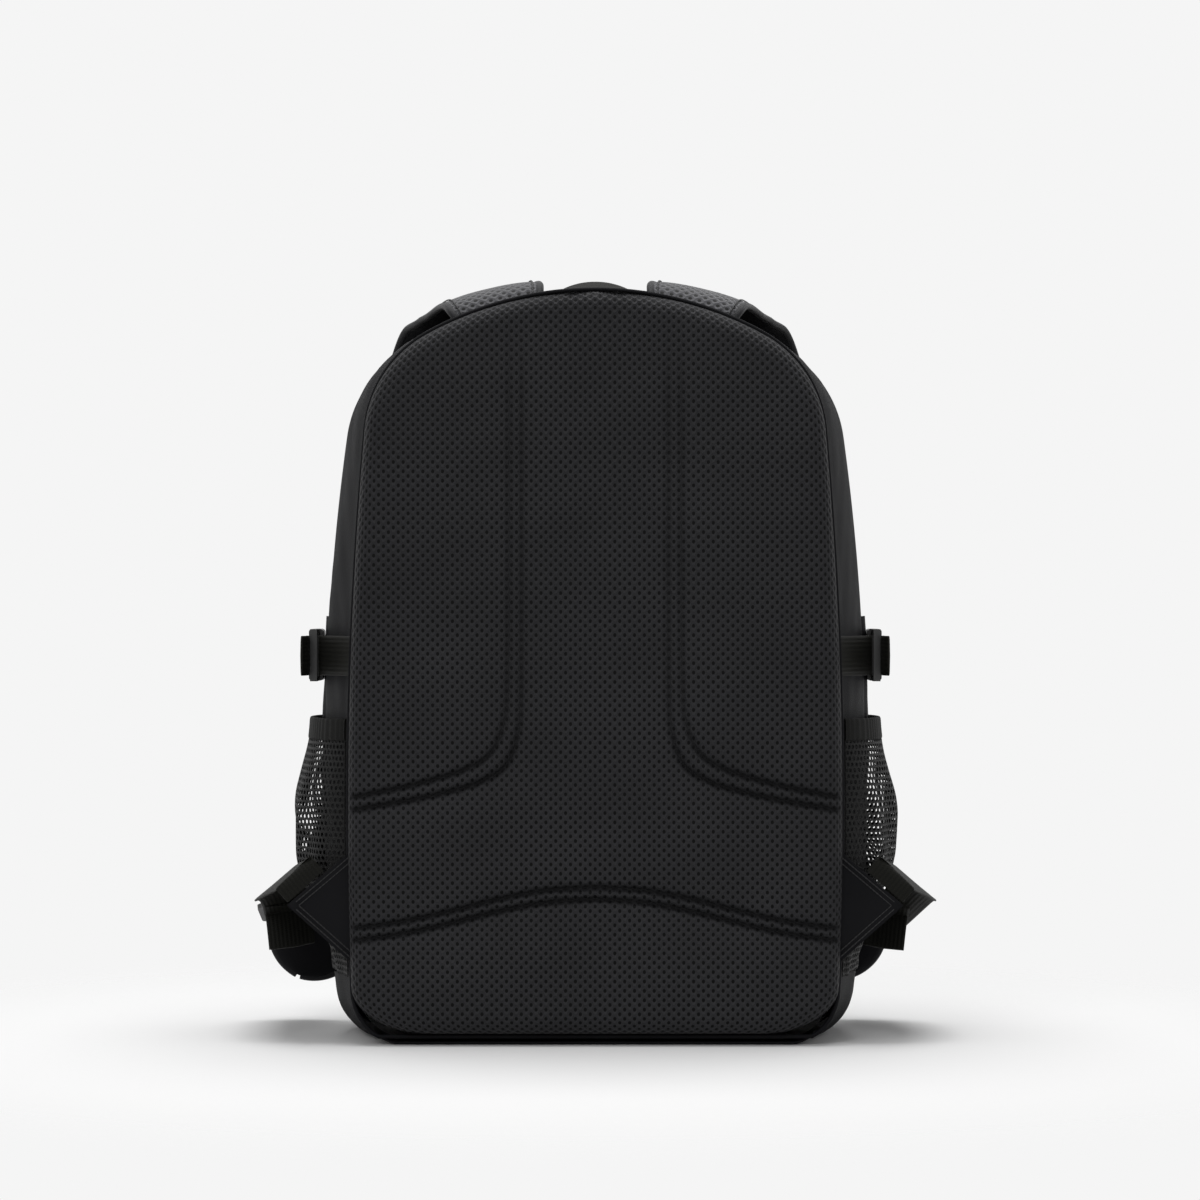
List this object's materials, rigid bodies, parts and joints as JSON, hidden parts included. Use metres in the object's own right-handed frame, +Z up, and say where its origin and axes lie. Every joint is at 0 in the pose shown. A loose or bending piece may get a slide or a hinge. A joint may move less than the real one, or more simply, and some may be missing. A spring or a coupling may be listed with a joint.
{
  "type": "racket backpack",
  "caption": "Black sports backpack with padded spacer-mesh back, shoulder straps with ladder locks, net side pockets, compression buckles, haul loop and arched main zip.",
  "frame": {"origin": "centre of the flat underside of the base", "axes": "+Z up towards the crown, -Y towards the wearer, +X to the right when facing the back panel"},
  "size_m": [0.4371, 0.1866, 0.4887],
  "materials": {
    "acetal": "satin moulded acetal",
    "elastic": "ribbed elastic binding",
    "lining": "light polyester lining",
    "net": "open polyester net",
    "nylon": "matte woven nylon pack cloth",
    "spacer_mesh": "matte perforated polyester spacer mesh over foam",
    "stiffener": "polyethylene sheet",
    "webbing": "ribbed polypropylene webbing",
    "zip_coil": "nylon coil",
    "zip_metal": "black painted die-cast zinc",
    "zip_tape": "woven polyester zip tape"
  },
  "bodies": {
    "bag": {"back_pad": "spacer_mesh", "back_piping": "nylon", "base_tray": "nylon", "buckle_female_left": "acetal", "buckle_female_right": "acetal", "comp_webbing_front_left": "webbing", "comp_webbing_front_right": "webbing", "comp_webbing_rear_left": "webbing", "comp_webbing_rear_right": "webbing", "frame_sheet": "stiffener", "front_gusset": "nylon", "front_panel": "nylon", "front_piping": "nylon", "front_pocket_gusset": "nylon", "front_pocket_lower_face": "nylon", "front_pocket_upper_face": "nylon", "front_pocket_zip_coil": "zip_coil", "front_pocket_zip_tape": "zip_tape", "haul_handle": "webbing", "inner_sleeve": "lining", "inner_sleeve_binding": "elastic", "lining": "lining", "main_zip_coil": "zip_coil", "main_zip_tape": "zip_tape", "mesh_pocket_left": "net", "mesh_pocket_right": "net", "pocket_binding_left": "elastic", "pocket_binding_right": "elastic", "rear_gusset": "nylon", "wing_left": "nylon", "wing_right": "nylon"},
    "strap_left": {"shoulder_strap_left": "spacer_mesh", "lock_tab_left": "webbing", "ladder_lock_left": "acetal", "adjuster_webbing_left": "webbing"},
    "slider_left": {"main_slider_left": "zip_metal"},
    "puller_left": {"main_puller_left": "zip_metal"},
    "buckle_left": {"buckle_male_left": "acetal", "comp_tail_left": "webbing"},
    "strap_right": {"shoulder_strap_right": "spacer_mesh", "lock_tab_right": "webbing", "ladder_lock_right": "acetal", "adjuster_webbing_right": "webbing"},
    "slider_right": {"main_slider_right": "zip_metal"},
    "puller_right": {"main_puller_right": "zip_metal"},
    "buckle_right": {"buckle_male_right": "acetal", "comp_tail_right": "webbing"},
    "pocket_slider": {"pocket_slider": "zip_metal"},
    "pocket_puller": {"pocket_puller": "zip_metal"}
  },
  "joints": [
    {"name": "strap_swing_left", "type": "hinge", "parent": "bag", "child": "strap_left", "pos_m": [-0.18086, -0.0662, 0.09931], "axis": [0.3053, 0.0044, 0.9522], "range_deg": [0, 70]},
    {"name": "zip_run_left", "type": "hinge", "parent": "bag", "child": "slider_left", "pos_m": [0, 0.013, 0.18655], "axis": [0, -1, 0], "range_deg": [0, 21]},
    {"name": "puller_lift_left", "type": "hinge", "parent": "slider_left", "child": "puller_left", "pos_m": [-0.01388, 0.013, 0.47026], "axis": [0, 1, 0], "range_deg": [0, 100]},
    {"name": "buckle_release_left", "type": "slide", "parent": "bag", "child": "buckle_left", "axis": [0, -1, 0], "range_m": [0, 0.022]},
    {"name": "strap_swing_right", "type": "hinge", "parent": "bag", "child": "strap_right", "pos_m": [0.18086, -0.0662, 0.09931], "axis": [0.3053, -0.0044, -0.9522], "range_deg": [0, 70]},
    {"name": "zip_run_right", "type": "hinge", "parent": "bag", "child": "slider_right", "pos_m": [0, 0.013, 0.18655], "axis": [0, 1, 0], "range_deg": [0, 21]},
    {"name": "puller_lift_right", "type": "hinge", "parent": "slider_right", "child": "puller_right", "pos_m": [0.01388, 0.013, 0.47026], "axis": [0, -1, 0], "range_deg": [0, 100]},
    {"name": "buckle_release_right", "type": "slide", "parent": "bag", "child": "buckle_right", "axis": [0, -1, 0], "range_m": [0, 0.022]},
    {"name": "pocket_zip_run", "type": "slide", "parent": "bag", "child": "pocket_slider", "axis": [1, 0, 0], "range_m": [0, 0.144]},
    {"name": "pocket_puller_lift", "type": "hinge", "parent": "pocket_slider", "child": "pocket_puller", "pos_m": [-0.068, 0.1076, 0.268], "axis": [0, 0, 1], "range_deg": [0, 150]}
  ]
}
